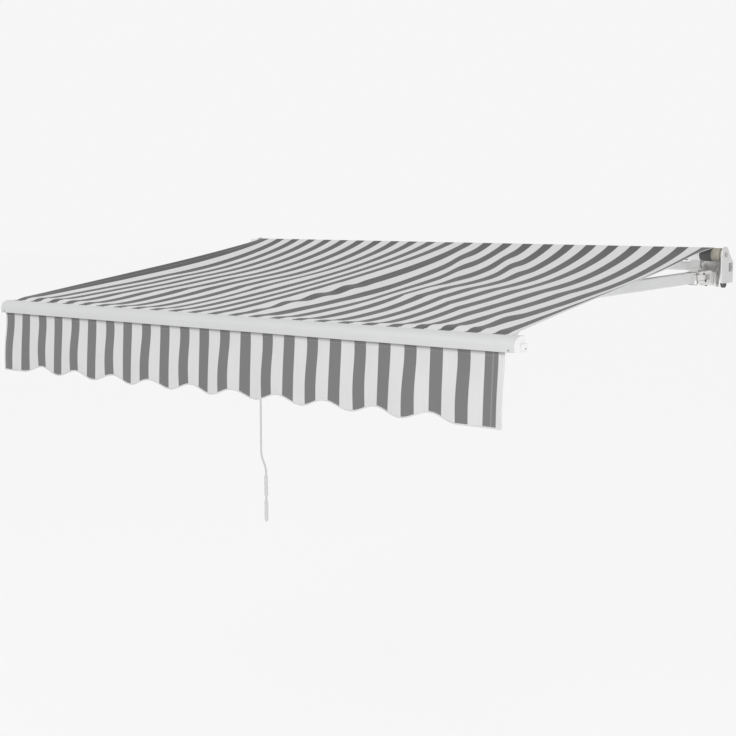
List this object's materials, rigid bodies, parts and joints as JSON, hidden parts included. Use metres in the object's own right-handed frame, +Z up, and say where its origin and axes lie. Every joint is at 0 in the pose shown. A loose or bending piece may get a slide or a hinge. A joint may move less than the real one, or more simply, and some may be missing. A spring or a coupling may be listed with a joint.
{
  "type": "folding-arm awning",
  "caption": "Retractable patio awning: striped cloth from a wall-side roller to a front bar, two elbowed arms, scalloped valance and a hand crank.",
  "frame": {"origin": "on the wall, at mid width, level with the axis of the square torsion bar", "axes": "+X along the wall to the right as seen from the garden, +Y into the wall, +Z up; the awning reaches out along -Y"},
  "size_m": [2.9923, 1.9774, 1.7333],
  "materials": {
    "steel_coat": "smooth white powder coat on steel",
    "cast_coat": "pale grey powder coat on cast aluminium",
    "profile_coat": "smooth white powder coat on extruded aluminium",
    "zinc_steel": "zinc plated",
    "galvanised_tube": "galvanised",
    "dark_plastic": "fine grained",
    "white_plastic": "moulded, fine grained",
    "beige_plastic": "moulded",
    "gear_bronze": "machined bronze",
    "striped_cloth": "woven acrylic cloth in grey and white stripes",
    "white_piping": "coated cord"
  },
  "bodies": {
    "frame": {"torsion_bar": "steel_coat", "torsion_bar_cap_left": "dark_plastic", "torsion_bar_cap_right": "dark_plastic", "wall_bracket_left": "steel_coat", "wall_bracket_right": "steel_coat", "wall_bracket_keeper_left": "cast_coat", "wall_bracket_keeper_right": "cast_coat", "end_plate_left": "steel_coat", "end_plate_right": "steel_coat", "shoulder_clamp_left": "cast_coat", "shoulder_clamp_right": "cast_coat", "gearbox_housing": "white_plastic", "gearbox_cover": "white_plastic"},
    "roller": {"roller_tube": "galvanised_tube", "wound_cloth": "striped_cloth", "roller_plug_left": "beige_plastic", "roller_plug_right": "beige_plastic", "roller_pin": "zinc_steel", "worm_wheel": "gear_bronze"},
    "crank": {"worm_shaft": "zinc_steel", "crank_eye": "zinc_steel", "crank_rod": "steel_coat"},
    "crank_lower_grip": {"crank_grip_lower": "dark_plastic"},
    "crank_upper_grip": {"crank_grip_upper": "dark_plastic"},
    "right_shoulder": {"shoulder_block_right": "cast_coat", "tilt_bolt_right": "zinc_steel", "lock_bolt_right": "zinc_steel", "shoulder_pin_right": "zinc_steel", "canopy": "striped_cloth"},
    "right_upper_arm": {"upper_arm_right": "profile_coat", "upper_arm_shoulder_end_right": "cast_coat", "upper_arm_elbow_end_right": "cast_coat", "elbow_pin_right": "zinc_steel"},
    "right_forearm": {"forearm_right": "profile_coat", "forearm_elbow_end_right": "cast_coat", "forearm_wrist_end_right": "cast_coat", "arm_spring_right": "zinc_steel"},
    "left_shoulder": {"shoulder_block_left": "cast_coat", "tilt_bolt_left": "zinc_steel", "lock_bolt_left": "zinc_steel", "shoulder_pin_left": "zinc_steel"},
    "left_upper_arm": {"upper_arm_left": "profile_coat", "upper_arm_shoulder_end_left": "cast_coat", "upper_arm_elbow_end_left": "cast_coat", "elbow_pin_left": "zinc_steel"},
    "left_forearm": {"forearm_left": "profile_coat", "forearm_elbow_end_left": "cast_coat", "forearm_wrist_end_left": "cast_coat", "arm_spring_left": "zinc_steel"},
    "front_bar": {"front_bar": "profile_coat", "front_bar_cap_left": "white_plastic", "front_bar_cap_right": "white_plastic", "bar_bracket_left": "cast_coat", "bar_bracket_right": "cast_coat", "wrist_pin_left": "zinc_steel", "wrist_pin_right": "zinc_steel", "canopy_piping": "white_piping", "valance": "striped_cloth", "valance_piping": "white_piping"}
  },
  "joints": [
    {"name": "roller_spin", "type": "hinge", "parent": "frame", "child": "roller", "pos_m": [0, -0.095, 0.059], "axis": [1, 0, 0], "continuous": true},
    {"name": "crank_spin", "type": "hinge", "parent": "frame", "child": "crank", "pos_m": [-1.494, -0.06774, 0], "axis": [0, 0, 1], "continuous": true},
    {"name": "crank_lower_grip_spin", "type": "hinge", "parent": "crank", "child": "crank_lower_grip", "pos_m": [-1.42956, -0.09509, -1.5], "axis": [0, 0, 1], "continuous": true},
    {"name": "crank_upper_grip_spin", "type": "hinge", "parent": "crank", "child": "crank_upper_grip", "pos_m": [-1.42956, -0.09509, -1.4], "axis": [0, 0, 1], "continuous": true},
    {"name": "arm_tilt", "type": "hinge", "parent": "frame", "child": "right_shoulder", "pos_m": [1.385, -0.1, -0.035], "axis": [1, 0, 0], "range_deg": [-4, 12]},
    {"name": "left_arm_tilt", "type": "hinge", "parent": "frame", "child": "left_shoulder", "pos_m": [-1.385, -0.1, -0.035], "axis": [1, 0, 0], "range_deg": [-4, 12]},
    {"name": "awning_fold", "type": "hinge", "parent": "right_shoulder", "child": "right_upper_arm", "pos_m": [1.385, -0.18, -0.043], "axis": [0, 0.0958, -0.9954], "range_deg": [0, 63.5], "deforming": ["canopy"]},
    {"name": "right_elbow", "type": "hinge", "parent": "right_upper_arm", "child": "right_forearm", "pos_m": [1.01324, -1.01114, -0.12303], "axis": [0, 0.0958, -0.9954], "range_deg": [-127, 0]},
    {"name": "right_wrist", "type": "hinge", "parent": "right_forearm", "child": "front_bar", "pos_m": [1.385, -1.84227, -0.20306], "axis": [0, 0.0958, -0.9954], "range_deg": [0, 63.5]},
    {"name": "left_shoulder_fold", "type": "hinge", "parent": "left_shoulder", "child": "left_upper_arm", "pos_m": [-1.385, -0.18, -0.043], "axis": [0, 0.0958, -0.9954], "range_deg": [-63.5, 0]},
    {"name": "left_elbow", "type": "hinge", "parent": "left_upper_arm", "child": "left_forearm", "pos_m": [-1.01324, -1.01114, -0.12303], "axis": [0, 0.0958, -0.9954], "range_deg": [0, 127]}
  ],
  "couplings": [
    {"joint": "crank_spin", "follows": "roller_spin", "ratio": -11},
    {"joint": "left_arm_tilt", "follows": "arm_tilt", "ratio": 1},
    {"joint": "right_elbow", "follows": "awning_fold", "ratio": -2},
    {"joint": "right_wrist", "follows": "awning_fold", "ratio": 1},
    {"joint": "left_shoulder_fold", "follows": "awning_fold", "ratio": -1},
    {"joint": "left_elbow", "follows": "awning_fold", "ratio": 2}
  ]
}
